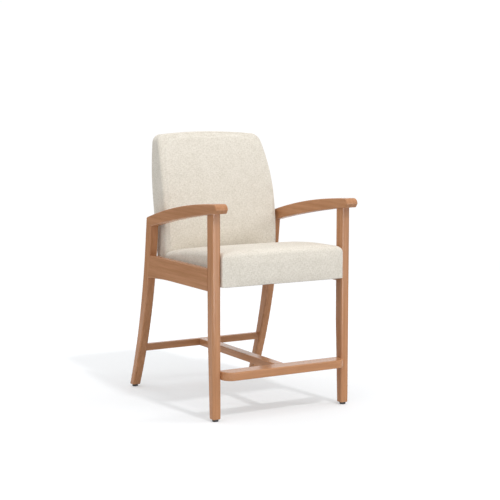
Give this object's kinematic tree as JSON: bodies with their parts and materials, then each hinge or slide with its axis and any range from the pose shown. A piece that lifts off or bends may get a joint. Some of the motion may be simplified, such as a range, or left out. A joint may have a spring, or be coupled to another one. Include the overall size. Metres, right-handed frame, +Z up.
{
  "type": "hip chair",
  "caption": "High-seat hip chair: stained wood frame, bowed arms that run into swept rear legs, front footrest board, upholstered seat and leaning back.",
  "frame": {"origin": "on the floor, under the middle of the chair's bounding box", "axes": "+Z up, -Y towards the front of the chair, +X to the right of someone who looks at its front"},
  "size_m": [0.6268, 0.7812, 1.07],
  "materials": {
    "frame_wood": "satin stained hardwood",
    "inner_wood": "raw plywood and hardwood",
    "dowel_wood": "raw beech",
    "steel": "zinc plated",
    "foam": "open-cell foam",
    "upholstery": "heathered woven cloth",
    "dust_cover": "thin black non-woven cloth",
    "glide_nylon": "moulded nylon"
  },
  "bodies": {
    "root": {"front_leg_left": "frame_wood", "front_leg_right": "frame_wood", "rear_leg_left": "frame_wood", "rear_leg_right": "frame_wood", "arm_left": "frame_wood", "arm_right": "frame_wood", "side_rail_left": "frame_wood", "side_rail_right": "frame_wood", "rear_rail": "frame_wood", "footrest": "frame_wood", "rear_stretcher": "frame_wood", "centre_stretcher": "frame_wood", "seat_front_board": "inner_wood", "seat_rear_board": "inner_wood", "seat_side_board_left": "inner_wood", "seat_side_board_right": "inner_wood", "seat_corner_blocks": "inner_wood", "seat_deck": "inner_wood", "back_panel": "inner_wood", "back_post_left": "inner_wood", "back_post_right": "inner_wood", "arm_dowels": "dowel_wood", "rail_dowels": "dowel_wood", "stretcher_dowels": "dowel_wood", "footrest_dowels": "dowel_wood", "seat_bolts": "steel", "seat_inserts": "steel", "seat_spacers": "steel", "back_bolts": "steel", "back_inserts": "steel", "glide_pins": "steel", "seat_foam": "foam", "back_foam": "foam", "seat_cover": "upholstery", "back_cover": "upholstery", "seat_dust_cover": "dust_cover", "glide_front_left": "glide_nylon", "glide_front_right": "glide_nylon", "glide_rear_left": "glide_nylon", "glide_rear_right": "glide_nylon"}
  },
  "joints": []
}
